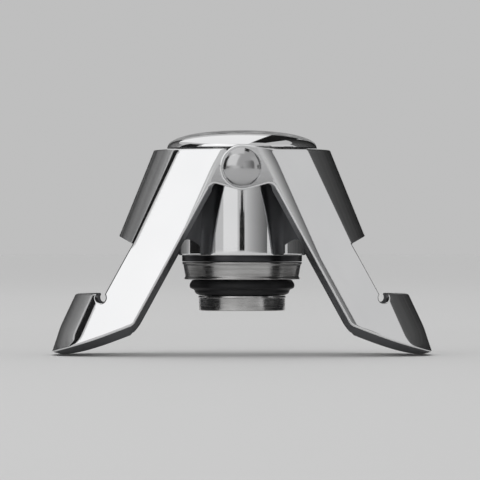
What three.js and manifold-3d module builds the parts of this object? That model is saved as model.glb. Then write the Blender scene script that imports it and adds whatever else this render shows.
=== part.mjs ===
// A two-wing stopper for a sparkling-wine bottle, in millimetres, +Z up along the bottle's axis.
// A cross pin along Y carries two winged arms. They stand open against the underside of the dome,
// and swing in until their hooks lie under the bottle's ring. A sprung plunger with a rubber
// gasket closes the mouth. Heights are worked out from the pin's axis, and drops are measured
// down from it. At the end the whole stopper is lifted so that it stands on its wing tips.

import * as THREE from "three";
import { mergeVertices } from "three/addons/utils/BufferGeometryUtils.js";
import Module from "manifold-3d";

const wasm = await Module();
wasm.setup();

// Clearances
const seatGap = 0.3; // between faces that rest on each other
const stackGap = 0.1; // between the flat pieces stacked on the rod
const runGap = 0.1; // round a piece that turns or slides
const overrun = 1; // how far a cutting shape reaches past what it cuts

// The bottle
const ringRadius = 14.6;
const ringClearance = 0.35;
const neckRadius = 13.4;

// The arms, with each arm hanging straight down
const openAngle = 28.7;
const earEndRadius = 4.35;
const earThickness = 1.95;
const earFootSlope = 13.3;
const crownReach = 6.7;
const topEdge = 3.6;
const armWall = 1.7;
const lipWall = 2.2;
const cheekTilt = 30;
const cheekDistance = 16.7;
const cheekFlare = 0.8;
const bendRadius = 5;
const cornerEase = 0.4;
const innerEdge = 4.13;
const innerFillet = 1.7;
const footDrop = 36.85;
const footFillet = 1.6;
const footBelly = 0.4;
const footScoop = 11;
const footBevel = 1.65;
const shoulderDrop = 3;
const shoulderCorner = 12.7;
const shoulderCrest = 17.2;
const waistDrop = 23.2;
const waistCorner = 11.6;
const waistCrest = 14.85;
const tabRootDrop = 34.85;
const tabRootCorner = 12.7;
const tabRootCrest = 17;
const tabNeckDrop = 44.3;
const tabNeckCorner = 11.9;
const tabNeckCrest = 16.4;
const tabFlareRun = 2.3;
const tabFlareCorner = 12.7;
const tabTipRun = 2.7;
const tabTipCorner = 14.7;
const tabTipCrest = 15.5;
const notchRadius = 1.05;
const notchInset = 0.4;
const hookDrop = 36.6;
const hookThickness = 1.4;
const hookClearance = 0.3;
const hookStart = 6;
const roofThickness = 1.5;
const roofStart = 5.2;
const roofClearance = 0.8;

// The cross pin
const pinRadius = 1.75;
const headRadius = 3.75;
const headHeight = 2.1;
const capSocketDepth = 1.3;
const washerRadius = 3.4;

// The dome and the bell
const domeRadius = 14.75;
const domeHeight = 3.6;
const domeRoundness = 2.2;
const bellRadius = 12.4;
const bellWall = 0.5;
const bellRoof = 0.6;
const bellDrop = 17;
const bellEdgeHeight = 1;
const bellShoulder = 1.2;

// The core, the guide plate and the screws
const coreDrop = 7.5;
const bossRadius = 2.6;
const bossReach = 0.7;
const pocketRadius = 4.2;
const pocketDrop = 2.6;
const plateThickness = 1.2;
const screwPlace = 8.6;
const screwRadius = 1.1;
const screwHeadRadius = 1.9;
const screwHeadHeight = 1.2;
const screwBite = 1.7;
const slotWidth = 0.6;
const slotDepth = 0.5;

// The rod and what is on it
const plungerTravel = 3;
const rodRadius = 2;
const rodNeck = 0.5;
const rodEnd = 0.5;
const bushWall = 0.75;
const bushFlangeRadius = 3.8;
const bushFlange = 0.3;
const clipThickness = 0.5;
const clipRadius = 3.4;
const collarRadius = 3.2;
const collarHeight = 1.2;
const rodBite = 0.5;

// The plunger's stack
const sleeveGap = 0.15;
const sleeveWall = 1;
const sleeveFloor = 1.2;
const neckHeight = 1.2;
const cupInset = 0.05;
const cupTaper = 0.4;
const cupHeight = 3.4;
const cupLip = 0.2;
const cupLipHeight = 0.35;
const gasketRadius = 10.3;
const gasketTopInset = 0.5;
const gasketFootRadius = 8.2;
const gasketHeight = 3;
const gasketLandTop = 0.8;
const gasketLandFoot = 1.7;
const discTopRadius = 8.6;
const discFootRadius = 8.4;
const discHeight = 2.9;
const discRim = 0.4;
const discRimLip = 0.1;
const recessRadius = 3.7;
const recessDepth = 1.5;
const discScrewRadius = 1;
const discScrewHead = 3.2;
const discScrewHeadHeight = 1;
const discScrewBite = 4;

// The spring
const springRadius = 5.6;
const wireRadius = 0.5;
const springTurns = 3.25;
const curlSteps = 8;
const wireSides = 5;
const leastSelfGap = 0.4;

// Places that follow from the sizes
const radians = THREE.MathUtils.degToRad;
const earInner = ringRadius + ringClearance;
const earOuter = earInner + earThickness;
const lapThickness = (earThickness - seatGap) / 2;
const cutDepth = earOuter + seatGap;
const tabFlareDrop = tabNeckDrop + tabFlareRun;
const tabTipDrop = tabFlareDrop + tabTipRun;
const domeUnderside = topEdge + seatGap;
const bellInner = bellRadius - bellWall;
const bellTop = topEdge;
const coreTop = bellTop - bellRoof - seatGap;
const coreRadius = bellInner - seatGap;
const bossEnd = bellRadius + bossReach;
const headSeat = earOuter + seatGap;
const plateTop = -coreDrop - seatGap;
const plateUnderside = plateTop - plateThickness;
const bushInner = rodRadius + runGap;
const bushOuter = bushInner + bushWall;
const clipUnderside = plateTop + seatGap + bushFlange + seatGap;
const rodTop = clipUnderside + clipThickness + rodEnd;
const sleeveRadius = bellInner - sleeveGap;
const cupTopRadius = sleeveRadius - cupInset;
const cupFootRadius = cupTopRadius - cupTaper;
const sleeveUnderside = -bellDrop - neckHeight;
const sleeveFloorTop = sleeveUnderside + sleeveFloor;
const sleeveTop = plateUnderside - seatGap - plungerTravel;
const cupTop = sleeveUnderside - stackGap;
const cupUnderside = cupTop - cupHeight;
const gasketTop = cupUnderside - stackGap;
const gasketUnderside = gasketTop - gasketHeight;
const discTop = gasketUnderside - stackGap;
const discUnderside = discTop - discHeight;
const stackBore = rodRadius + runGap;
const recessTop = discUnderside + recessDepth;

// Finishes, as the photograph shows them
const finish = (color, roughness, metalness) =>
  new THREE.MeshStandardMaterial({ color, roughness, metalness });
const chrome = finish(0xe2e3e5, 0.08, 1);
const brushedSteel = finish(0xb9b8b6, 0.3, 1);
const castZinc = finish(0x8f9194, 0.45, 1);
const plainSteel = finish(0xa2a4a6, 0.35, 1);
const darkSteel = finish(0x3a3b3d, 0.4, 1);
const brass = finish(0xb9975a, 0.35, 1);
const rubber = finish(0x121213, 0.6, 0);

// A closed geometry as a solid that can be joined and cut.
function solidOf(geometry) {
  const loose = geometry.index ? geometry.toNonIndexed() : geometry;
  const bare = new THREE.BufferGeometry();
  bare.setAttribute("position", loose.getAttribute("position"));
  const merged = mergeVertices(bare);
  return new wasm.Manifold(
    new wasm.Mesh({
      numProp: 3,
      vertProperties: merged.attributes.position.array,
      triVerts: new Uint32Array(merged.index.array),
    }),
  );
}

// A solid back as a named mesh with its finish.
function meshOf(name, solid, material) {
  const data = solid.getMesh();
  const geometry = new THREE.BufferGeometry();
  geometry.setAttribute("position", new THREE.BufferAttribute(data.vertProperties, 3));
  geometry.setIndex(new THREE.BufferAttribute(data.triVerts, 1));
  geometry.computeVertexNormals();
  const mesh = new THREE.Mesh(geometry, material);
  mesh.name = name;
  return mesh;
}

// A solid of revolution about Z from a profile of [radius, height] points, listed anticlockwise.
function turned(profile, segments) {
  const points = profile.map(([radius, height]) => new THREE.Vector2(radius, height));
  return solidOf(new THREE.LatheGeometry(points, segments).rotateX(Math.PI / 2));
}

// A round bar from one height to another, upright unless it is turned to lie along Y.
function bar(radius, low, high, segments = 32) {
  return turned([[0, low], [radius, low], [radius, high], [0, high]], segments);
}

// The same bar along Y, from one depth to another.
function crossBar(radius, front, back, segments = 48) {
  const geometry = new THREE.CylinderGeometry(radius, radius, back - front, segments);
  return solidOf(geometry.translate(0, (front + back) / 2, 0));
}

// A box between two corners.
function block(low, high) {
  const size = new THREE.Vector3().subVectors(high, low);
  const middle = new THREE.Vector3().addVectors(low, high).multiplyScalar(0.5);
  const geometry = new THREE.BoxGeometry(size.x, size.y, size.z);
  return solidOf(geometry.translate(middle.x, middle.y, middle.z));
}

// A ring about Z with a square section.
function ring(inner, outer, low, high, segments) {
  const profile = [[inner, low], [outer, low], [outer, high], [inner, high], [inner, low]];
  return turned(profile, segments);
}

// A closed skin through rings of equal length. flat gives each point of an end ring in its plane.
function skin(rings, flat) {
  const count = rings[0].length;
  const points = rings.flat();
  const faces = [];
  for (let level = 0; level + 1 < rings.length; level++) {
    for (let i = 0; i < count; i++) {
      const a = level * count + i;
      const b = level * count + ((i + 1) % count);
      faces.push([a, b, b + count], [a, b + count, a + count]);
    }
  }
  const last = (rings.length - 1) * count;
  const lowCap = THREE.ShapeUtils.triangulateShape(rings[0].map(flat), []);
  const highCap = THREE.ShapeUtils.triangulateShape(rings.at(-1).map(flat), []);
  faces.push(...lowCap.map(([a, b, c]) => [a, c, b]));
  faces.push(...highCap.map(([a, b, c]) => [a + last, b + last, c + last]));
  const volume = faces.reduce((sum, [a, b, c]) => {
    const normal = new THREE.Vector3().crossVectors(points[b], points[c]);
    return sum + points[a].dot(normal);
  }, 0);
  const outward = volume > 0 ? faces : faces.map(([a, b, c]) => [a, c, b]);
  const geometry = new THREE.BufferGeometry().setFromPoints(points);
  geometry.setIndex(outward.flat());
  return solidOf(geometry);
}

// Points of an arc, its ends included.
function arc(centre, radius, startAngle, endAngle, steps) {
  return Array.from({ length: steps + 1 }, (_, i) => {
    const angle = startAngle + ((endAngle - startAngle) * i) / steps;
    const x = centre.x + radius * Math.cos(angle);
    return new THREE.Vector2(x, centre.y + radius * Math.sin(angle));
  });
}

// The corner between two straight runs, rounded to a radius: the arc's points.
function rounded(before, corner, after, radius, steps) {
  const inward = new THREE.Vector2().subVectors(before, corner).normalize();
  const onward = new THREE.Vector2().subVectors(after, corner).normalize();
  const halfAngle = Math.acos(inward.dot(onward)) / 2;
  const middle = new THREE.Vector2().addVectors(inward, onward).normalize();
  const centre = corner.clone().addScaledVector(middle, radius / Math.sin(halfAngle));
  const reach = radius / Math.tan(halfAngle);
  const start = corner.clone().addScaledVector(inward, reach).sub(centre);
  const end = corner.clone().addScaledVector(onward, reach).sub(centre);
  const turn = Math.atan2(start.cross(end), start.dot(end));
  return arc(centre, radius, start.angle(), start.angle() + turn, steps);
}

// The arm

const tilt = radians(cheekTilt);
const open = radians(openAngle);

// A point of the open arm, in the frame of the arm that hangs straight down.
function hanging(x, z) {
  return new THREE.Vector2(x, z).rotateAround(new THREE.Vector2(), -open);
}

// The arm's sections at their drops: how far the cheek leans out, and where corner and crest are.
const station = (drop, flare, corner, crest) => ({ drop, flare, corner, crest });
const upperStations = [
  station(-2 * earEndRadius, cheekFlare, shoulderCorner, shoulderCrest),
  station(shoulderDrop, cheekFlare, shoulderCorner, shoulderCrest),
  station(waistDrop, 0, waistCorner, waistCrest),
  station(tabRootDrop, 0, waistCorner, waistCrest),
];
const tabStations = [
  station(tabRootDrop - seatGap, 0, tabRootCorner, tabRootCrest),
  station(tabNeckDrop, 0, tabNeckCorner, tabNeckCrest),
  station(tabFlareDrop, 0, tabFlareCorner, (tabNeckCrest + tabTipCrest) / 2),
  station(tabTipDrop, 0, tabTipCorner, tabTipCrest),
  station(tabTipDrop + 2 * overrun, 0, tabTipCorner, tabTipCrest),
];

// Half of a section, from the open side round the ear, the bend, the cheek and the web.
function halfSection({ flare, corner: cornerPlace, crest }, wall, openSide) {
  const distance = cheekDistance + flare - wall;
  const ear = wall ? earInner : earOuter;
  const cheekAt = (x) => (distance - x * Math.sin(tilt)) / Math.cos(tilt);
  const bend = new THREE.Vector2((distance - ear * Math.cos(tilt)) / Math.sin(tilt), -ear);
  const sag = crest - cornerPlace;
  const outerCheek = cheekAt(cornerPlace) + wall / Math.cos(tilt);
  const webRadius = (outerCheek ** 2 + sag ** 2) / (2 * sag);
  const centre = new THREE.Vector2(crest - webRadius, 0);
  const radius = webRadius - wall;
  // The corner is where the cheek's plane meets the web's circle.
  const cheekNormal = new THREE.Vector2(Math.sin(tilt), -Math.cos(tilt));
  const offset = distance - centre.dot(cheekNormal);
  const along = Math.sqrt(radius ** 2 - offset ** 2);
  const cheekRun = new THREE.Vector2(Math.cos(tilt), Math.sin(tilt));
  const corner = centre.clone().addScaledVector(cheekNormal, offset).addScaledVector(cheekRun, along);
  const start = new THREE.Vector2(openSide, -ear);
  const bendArc = rounded(start, bend, corner, bendRadius - wall, 4);
  const cornerAngle = Math.atan2(corner.y, corner.x - centre.x);
  const ease = cornerEase / radius;
  const web = arc(centre, radius, cornerAngle + ease, 0, 7);
  const beforeCorner = corner.clone().addScaledVector(cheekRun, -cornerEase);
  const middle = new THREE.Vector2().addVectors(beforeCorner, web[0]).add(corner);
  const easedCorner = middle.add(corner).multiplyScalar(1 / 4);
  return [start, ...bendArc, beforeCorner, easedCorner, ...web];
}

// Section loops, closed across the open side, stacked into one solid.
function armLoft(stations, wall, openSide) {
  const rings = stations.map((level) => {
    const half = halfSection(level, wall, openSide);
    const mirrored = half.slice(0, -1).reverse();
    const loop = [...half, ...mirrored.map((p) => new THREE.Vector2(p.x, -p.y))];
    return loop.map((p) => new THREE.Vector3(p.x, p.y, -level.drop));
  });
  return skin(rings, (p) => new THREE.Vector2(p.x, p.y));
}

// The arm's outline seen along the pin. Each point is a rule that gives its place at a share of
// the way from the arm's face to mid depth, because the cut edge stands square to the tilted
// cheek, and along the foot, which bellies down a little, it is bevelled back, less towards the tip.
function armOutline(hasCrown) {
  const straight = (p) => () => p;
  const crown = hanging(crownReach, topEdge);
  const crownTurn = Math.acos(earEndRadius / crown.length());
  const topTurn = Math.PI - Math.asin(topEdge / earEndRadius) - open;
  const startAngle = hasCrown ? Math.atan2(crown.y, crown.x) + crownTurn : topTurn;
  const footAngle = (3 / 2) * Math.PI - radians(earFootSlope);
  const earEnd = arc(new THREE.Vector2(), earEndRadius, startAngle, footAngle, 20);

  const touch = earEnd.at(-1);
  const rise = (innerEdge - touch.x) * Math.tan(radians(earFootSlope));
  const armpit = new THREE.Vector2(innerEdge, touch.y - rise);
  const heel = new THREE.Vector2(innerEdge, -footDrop);
  const tip = new THREE.Vector2(tabTipCrest, -tabTipDrop);
  const armpitArc = rounded(touch, armpit, heel, innerFillet, 5);
  const heelArc = rounded(armpit, heel, tip, footFillet, 4);

  const lean = cutDepth * Math.tan(tilt);
  const footSlide = new THREE.Vector2(-lean, -footScoop);
  const bevelShare = footBevel / footScoop;
  // How far the foot's cut edge has slid at a share, from nothing at the cheek's own depth.
  const slid = (p, share) => {
    const depth = (cheekDistance - p.x * Math.sin(tilt)) / Math.cos(tilt);
    return Math.min(share - 1 + depth / cutDepth, bevelShare);
  };
  const armpitRules = armpitArc.map((p, i) => (share) => {
    const part = i / (armpitArc.length - 1);
    return new THREE.Vector2(p.x - lean * share * part, p.y);
  });
  const heelRules = heelArc.map((p, i) => (share) => {
    const leant = new THREE.Vector2(p.x - lean * share, p.y);
    const beveled = p.clone().addScaledVector(footSlide, slid(p, share));
    return leant.lerp(beveled, i / (heelArc.length - 1));
  });
  const footSteps = 8;
  const footRules = Array.from({ length: footSteps }, (_, i) => (share) => {
    const along = (i + 1) / footSteps;
    const p = heelArc.at(-1).clone().lerp(tip, along);
    p.y -= footBelly * Math.sin(Math.PI * along);
    return p.addScaledVector(footSlide, slid(p, share) * Math.sqrt(1 - along ** 3));
  });
  const past = tip.clone().add(new THREE.Vector2().subVectors(tip, heel).setLength(cutDepth / 2));
  const topOuter = hanging(2 * tabTipCrest, topEdge);
  const side = [past, new THREE.Vector2(topOuter.x, past.y), topOuter];
  const top = hasCrown ? [crown] : [];
  return [
    ...earEnd.map(straight),
    ...armpitRules,
    ...heelRules,
    ...footRules,
    ...[...side, ...top].map(straight),
  ];
}

// The outline as a solid from one face of the arm to just past mid depth.
function outlineBlock(hasCrown, direction) {
  const rules = armOutline(hasCrown);
  const levels = 12;
  const rings = Array.from({ length: levels + 1 }, (_, level) => {
    const share = level / levels;
    const depth = direction * (cutDepth - share * (cutDepth + runGap));
    return rules.map((rule) => new THREE.Vector3(rule(share).x, depth, rule(share).y));
  });
  return skin(rings, (p) => new THREE.Vector2(p.x, p.z));
}

// The window in the web, which leaves the cheeks with square outer edges.
function windowBlock() {
  const cheekDepth = (cheekDistance - waistCorner * Math.sin(tilt)) / Math.cos(tilt);
  const through = lipWall + overrun;
  const innerX = waistCorner - through * Math.sin(tilt);
  const innerDepth = cheekDepth - through * Math.cos(tilt);
  const reach = 2 * tabTipCrest;
  const plan = [
    [waistCorner, -cheekDepth],
    [reach, -cheekDepth],
    [reach, cheekDepth],
    [waistCorner, cheekDepth],
    [innerX, innerDepth],
    [innerX, -innerDepth],
  ];
  const rings = [-waistDrop - 2 * reach, -waistDrop].map((height) =>
    plan.map(([x, y]) => new THREE.Vector3(x, y, height)),
  );
  const walls = skin(rings, (p) => new THREE.Vector2(p.x, p.y));
  // Its lower edge is level when the arm is open.
  const sill = tabRootDrop + (reach - tabRootCorner) * Math.tan(open);
  const side = new THREE.Shape([
    new THREE.Vector2(0, -waistDrop),
    new THREE.Vector2(0, -tabRootDrop),
    new THREE.Vector2(tabRootCorner, -tabRootDrop),
    new THREE.Vector2(reach, -sill),
    new THREE.Vector2(reach, -waistDrop),
  ]);
  const depth = 2 * cutDepth;
  const slab = new THREE.ExtrudeGeometry(side, { depth, bevelEnabled: false });
  slab.translate(0, 0, -cutDepth).rotateX(Math.PI / 2);
  return walls.intersect(solidOf(slab));
}

// One arm, hanging. Its front ear laps over its fellow's, and its rear ear lies under.
function armSolid() {
  const openSide = -earEndRadius - overrun;
  const upper = armLoft(upperStations, 0, openSide);
  const tab = armLoft(tabStations, 0, openSide);
  const upperShell = upper.subtract(armLoft(upperStations, armWall, openSide - overrun));
  const tabShell = tab.subtract(armLoft(tabStations, lipWall, openSide - overrun));

  const reach = 2 * tabTipCrest;
  const hookSlab = block(
    new THREE.Vector3(hookStart, -cutDepth, -hookDrop - hookThickness),
    new THREE.Vector3(reach, cutDepth, -hookDrop),
  );
  const hookBore = bar(neckRadius + hookClearance, -hookDrop - 2 * hookThickness, 0, 48);
  const hook = tab.intersect(hookSlab).subtract(hookBore);

  const degrees = [0, openAngle, 0];
  const roofSlab = block(
    new THREE.Vector3(roofStart, -cutDepth, topEdge - roofThickness),
    new THREE.Vector3(reach, cutDepth, topEdge + overrun),
  );
  const roofBore = bar(bellRadius + roofClearance, 0, topEdge + 2 * overrun, 48);
  const roof = upper.intersect(roofSlab.subtract(roofBore).rotate(degrees));

  const outline = outlineBlock(true, -1).add(outlineBlock(false, 1));
  const pocketRadiusOfEar = earEndRadius + runGap;
  const underLap = crossBar(pocketRadiusOfEar, -earOuter + lapThickness, 0);
  const overLap = crossBar(pocketRadiusOfEar, earInner + lapThickness, cutDepth);
  const pinHole = crossBar(pinRadius + 2 * runGap, -cutDepth, cutDepth, 32);
  const notchX = waistCorner + notchInset;
  const notch = crossBar(notchRadius, -cutDepth, cutDepth, 20);

  return upperShell
    .add(tabShell)
    .add(hook)
    .add(roof)
    .intersect(outline)
    .subtract(windowBlock())
    .subtract(notch.translate([notchX, 0, -tabRootDrop - notchInset]))
    .subtract(underLap)
    .subtract(overLap)
    .subtract(pinHole);
}

// The dome and the bell

// The dome's height above its rim at a radius: a rounded shoulder that runs into a flat crown.
function domeProfile(steps) {
  return Array.from({ length: steps + 1 }, (_, i) => {
    const share = Math.sin(((i / steps) * Math.PI) / 2);
    const radius = domeRadius * Math.cos(((i / steps) * Math.PI) / 2);
    const fall = (radius / domeRadius) ** domeRoundness;
    const rise = i === 0 ? 0 : (1 - fall) ** (1 / domeRoundness);
    return [share === 1 ? 0 : radius, domeUnderside + domeHeight * rise];
  });
}

const screwTop = domeUnderside + screwBite;
const screwHole = screwRadius + 2 * runGap;

function screwHoles(low, high) {
  const hole = bar(screwHole, low, high, 24);
  return hole.translate([screwPlace, 0, 0]).add(hole.translate([-screwPlace, 0, 0]));
}

function domeCap() {
  const solid = turned([[0, domeUnderside], ...domeProfile(9)], 48);
  return solid.subtract(screwHoles(0, screwTop + seatGap));
}

// The bell, open below, with a rounded lower edge and a rounded shoulder under the dome.
function bodyShell() {
  const edgeSteps = 4;
  const edge = Array.from({ length: edgeSteps + 1 }, (_, i) => {
    const angle = ((i / edgeSteps) * Math.PI) / 2;
    const radius = bellInner + runGap + (bellWall - runGap) * Math.sin(angle);
    return [radius, -bellDrop + bellEdgeHeight * (1 - Math.cos(angle))];
  });
  const centre = new THREE.Vector2(bellRadius - bellShoulder, bellTop - bellShoulder);
  const shoulder = arc(centre, bellShoulder, 0, Math.PI / 2, 4).map((p) => [p.x, p.y]);
  const profile = [
    [0, bellTop - bellRoof],
    [bellInner - seatGap, bellTop - bellRoof],
    [bellInner, bellTop - bellRoof - seatGap],
    [bellInner, -bellDrop],
    ...edge,
    ...shoulder,
    [0, bellTop],
  ];
  const bossHoles = crossBar(bossRadius + runGap, -bossEnd, bossEnd);
  return turned(profile, 64).subtract(bossHoles).subtract(screwHoles(0, domeUnderside));
}

// The core inside the bell

function bodyCore() {
  const drum = bar(coreRadius, -coreDrop, coreTop, 48);
  const bosses = crossBar(bossRadius, -bossEnd, bossEnd);
  const pinBore = crossBar(pinRadius + runGap, -bossEnd - overrun, bossEnd + overrun, 32);
  const pocket = bar(pocketRadius, -coreDrop - overrun, -pocketDrop, 32);
  return drum
    .add(bosses)
    .subtract(pinBore)
    .subtract(pocket)
    .subtract(screwHoles(-coreDrop - overrun, coreTop + overrun));
}

function guidePlate() {
  const plate = ring(bushOuter + runGap, coreRadius, plateUnderside, plateTop, 48);
  return plate.subtract(screwHoles(plateUnderside - overrun, plateTop + overrun));
}

// A flanged plain bearing, pushed down into the plate's bore.
function rodBush() {
  const seat = plateTop + seatGap;
  return turned(
    [
      [bushInner, plateUnderside],
      [bushOuter, plateUnderside],
      [bushOuter, seat],
      [bushFlangeRadius, seat],
      [bushFlangeRadius, seat + bushFlange],
      [bushInner, seat + bushFlange],
      [bushInner, plateUnderside],
    ],
    32,
  );
}

// A pan-head screw that points up, with a slot across its head.
function slottedScrew(headRadiusOfScrew, headLow, headHigh, shankRadius, shankTop) {
  const screw = turned(
    [
      [0, headLow],
      [headRadiusOfScrew, headLow],
      [headRadiusOfScrew, headHigh],
      [shankRadius, headHigh],
      [shankRadius, shankTop],
      [0, shankTop],
    ],
    32,
  );
  const slot = block(
    new THREE.Vector3(-headRadiusOfScrew - overrun, -slotWidth / 2, headLow - overrun),
    new THREE.Vector3(headRadiusOfScrew + overrun, slotWidth / 2, headLow + slotDepth),
  );
  return screw.subtract(slot);
}

function capScrew() {
  const headHigh = plateUnderside - seatGap;
  return slottedScrew(screwHeadRadius, headHigh - screwHeadHeight, headHigh, screwRadius, screwTop);
}

// The cross pin and what closes it

// A domed rivet head about Z, its flat seat at zero height.
function headProfile(steps) {
  return Array.from({ length: steps + 1 }, (_, i) => {
    const angle = ((i / steps) * Math.PI) / 2;
    return [i === steps ? 0 : headRadius * Math.cos(angle), headHeight * Math.sin(angle)];
  });
}

function hingePin() {
  const length = 2 * headSeat + capSocketDepth - runGap;
  const start = [[0, -length], [pinRadius, -length], [pinRadius, 0]];
  return turned([...start, ...headProfile(6)], 32).rotate([90, 0, 0]).translate([0, -headSeat, 0]);
}

function pinEndCap() {
  const socket = pinRadius + runGap;
  const start = [[0, capSocketDepth], [socket, capSocketDepth], [socket, 0]];
  return turned([...start, ...headProfile(6)], 32).rotate([-90, 0, 0]).translate([0, headSeat, 0]);
}

function pinWasher() {
  const washer = ring(pinRadius + runGap, washerRadius, bossEnd + seatGap, earInner - seatGap, 32);
  return washer.rotate([90, 0, 0]);
}

// The plunger

function plungerSleeve() {
  const inner = sleeveRadius - sleeveWall;
  return turned(
    [
      [stackBore, sleeveUnderside],
      [sleeveRadius, sleeveUnderside],
      [sleeveRadius, sleeveTop],
      [inner, sleeveTop],
      [inner, sleeveFloorTop],
      [stackBore, sleeveFloorTop],
      [stackBore, sleeveUnderside],
    ],
    48,
  );
}

function plungerRod() {
  const end = recessTop + rodBite;
  const neck = rodRadius - rodNeck;
  const neckLow = clipUnderside - runGap / 2;
  const neckHigh = clipUnderside + clipThickness + runGap / 2;
  const collarLow = sleeveFloorTop + stackGap;
  const bore = discScrewRadius + runGap;
  return turned(
    [
      [0, end + discScrewBite + seatGap],
      [bore, end + discScrewBite + seatGap],
      [bore, end],
      [rodRadius, end],
      [rodRadius, collarLow],
      [collarRadius, collarLow],
      [collarRadius, collarLow + collarHeight],
      [rodRadius, collarLow + collarHeight],
      [rodRadius, neckLow],
      [neck, neckLow],
      [neck, neckHigh],
      [rodRadius, neckHigh],
      [rodRadius, rodTop],
      [0, rodTop],
    ],
    32,
  );
}

// A clip that slides into the rod's groove from one side.
function rodClip() {
  const inner = rodRadius - rodNeck + runGap;
  const high = clipUnderside + clipThickness;
  const mouth = block(
    new THREE.Vector3(-inner, 0, clipUnderside - overrun),
    new THREE.Vector3(inner, clipRadius + overrun, high + overrun),
  );
  return ring(inner, clipRadius, clipUnderside, high, 40).subtract(mouth);
}

// The cup, with a thin lip round its top and its foot.
function sealCup() {
  return turned(
    [
      [stackBore, cupUnderside],
      [cupFootRadius, cupUnderside],
      [cupFootRadius, cupUnderside + cupLipHeight],
      [cupFootRadius - cupLip, cupUnderside + 2 * cupLipHeight],
      [cupTopRadius - cupLip, cupTop - 2 * cupLipHeight],
      [cupTopRadius, cupTop - cupLipHeight],
      [cupTopRadius, cupTop],
      [stackBore, cupTop],
      [stackBore, cupUnderside],
    ],
    48,
  );
}

// The rubber seal: a round land that meets the bottle's mouth, and a tapered nose below it.
function gasketSolid() {
  const steps = 4;
  const landTop = gasketTop - gasketLandTop;
  const landFoot = gasketTop - gasketLandFoot;
  const nose = Array.from({ length: steps + 1 }, (_, i) => {
    const angle = ((i / steps) * Math.PI) / 2;
    const radius = gasketFootRadius + (gasketRadius - gasketFootRadius) * Math.sin(angle);
    return [radius, landFoot - (landFoot - gasketUnderside) * Math.cos(angle)];
  });
  return turned(
    [
      [stackBore, gasketUnderside],
      ...nose,
      [gasketRadius, landTop],
      [gasketRadius - gasketTopInset, gasketTop],
      [stackBore, gasketTop],
      [stackBore, gasketUnderside],
    ],
    32,
  );
}

// The disc below the seal, with a fine rim round its top and a recess for the screw below.
function lowerDisc() {
  const rodSeat = recessTop + rodBite - runGap;
  return turned(
    [
      [recessRadius, discUnderside],
      [discFootRadius, discUnderside],
      [discTopRadius - discRimLip, discTop - discRim],
      [discTopRadius, discTop - discRim],
      [discTopRadius, discTop],
      [stackBore, discTop],
      [stackBore, rodSeat],
      [discScrewRadius + runGap, rodSeat],
      [discScrewRadius + runGap, recessTop],
      [recessRadius, recessTop],
      [recessRadius, discUnderside],
    ],
    32,
  );
}

function discScrew() {
  const headHigh = recessTop - runGap;
  const top = recessTop + rodBite + discScrewBite;
  const headLow = headHigh - discScrewHeadHeight;
  return slottedScrew(discScrewHead, headLow, headHigh, discScrewRadius, top);
}

// The spring, one tube wound round the rod, with its least gap to itself measured on its points.
function compressionSpring() {
  const low = sleeveFloorTop + stackGap + wireRadius;
  const high = plateUnderside - stackGap - wireRadius;
  const steps = Math.round(springTurns * curlSteps);
  const centres = Array.from({ length: steps + 1 }, (_, i) => {
    const angle = (i / curlSteps) * 2 * Math.PI;
    const height = low + ((high - low) * i) / steps;
    return new THREE.Vector3(springRadius * Math.cos(angle), springRadius * Math.sin(angle), height);
  });
  const rings = centres.map((centre, i) => {
    const outward = new THREE.Vector3(centre.x, centre.y, 0).normalize();
    return Array.from({ length: wireSides }, (_, side) => {
      const angle = (side / wireSides) * 2 * Math.PI;
      const point = centre.clone().addScaledVector(outward, wireRadius * Math.cos(angle));
      point.z += wireRadius * Math.sin(angle);
      return point;
    });
  });
  const gaps = centres.flatMap((centre, i) =>
    centres.slice(i + curlSteps / 2).map((other) => centre.distanceTo(other) - 2 * wireRadius),
  );
  const least = Math.min(...gaps);
  console.log(`spring: least gap to itself ${least.toFixed(2)} mm, over ${leastSelfGap}`);
  return skin(rings, (p) => new THREE.Vector2(Math.hypot(p.x, p.y), p.z));
}

// Assembly

const stopper = new THREE.Group();
const add = (name, solid, material) => stopper.add(meshOf(name, solid, material));

add("dome_cap", domeCap(), chrome);
add("body_shell", bodyShell(), chrome);
add("body_core", bodyCore(), castZinc);
add("guide_plate", guidePlate(), plainSteel);
add("rod_bush", rodBush(), brass);
add("cap_screw_left", capScrew().translate([-screwPlace, 0, 0]), plainSteel);
add("cap_screw_right", capScrew().translate([screwPlace, 0, 0]), plainSteel);
add("hinge_pin", hingePin(), chrome);
add("pin_end_cap", pinEndCap(), chrome);
add("front_washer", pinWasher(), plainSteel);
add("rear_washer", pinWasher().rotate([0, 0, 180]), plainSteel);
add("plunger_sleeve", plungerSleeve(), darkSteel);
add("plunger_rod", plungerRod(), plainSteel);
add("rod_clip", rodClip(), darkSteel);
add("compression_spring", compressionSpring(), plainSteel);
add("seal_cup", sealCup(), brushedSteel);
add("gasket", gasketSolid(), rubber);
add("lower_disc", lowerDisc(), brushedSteel);
add("disc_screw", discScrew(), plainSteel);

// Both arms are one casting. The left one is turned half round, then both swing open.
const arm = armSolid();
const swing = [
  ["right_arm", 0, -open],
  ["left_arm", Math.PI, open],
];
for (const [name, halfTurn, angle] of swing) {
  const hinge = new THREE.Group();
  const mesh = meshOf(name, arm, chrome);
  mesh.rotation.z = halfTurn;
  hinge.rotation.y = angle;
  hinge.add(mesh);
  stopper.add(hinge);
}

// The open stopper stands on its wing tips.
stopper.position.z = -new THREE.Box3().setFromObject(stopper, true).min.z;

export default stopper;
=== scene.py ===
# %% [markdown]
# # A stopper for sparkling wine, dressed for its portrait
# The stopper was built as solids and packed, and this script loads that pack as a fixed frame.
# It then puts a finished surface on each piece that can be seen. Lengths are written in
# millimetres, as a maker measures, and become metres when a mesh is made.

import math

import bpy
import numpy as np
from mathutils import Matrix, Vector
from mathutils.geometry import delaunay_2d_cdt


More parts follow.
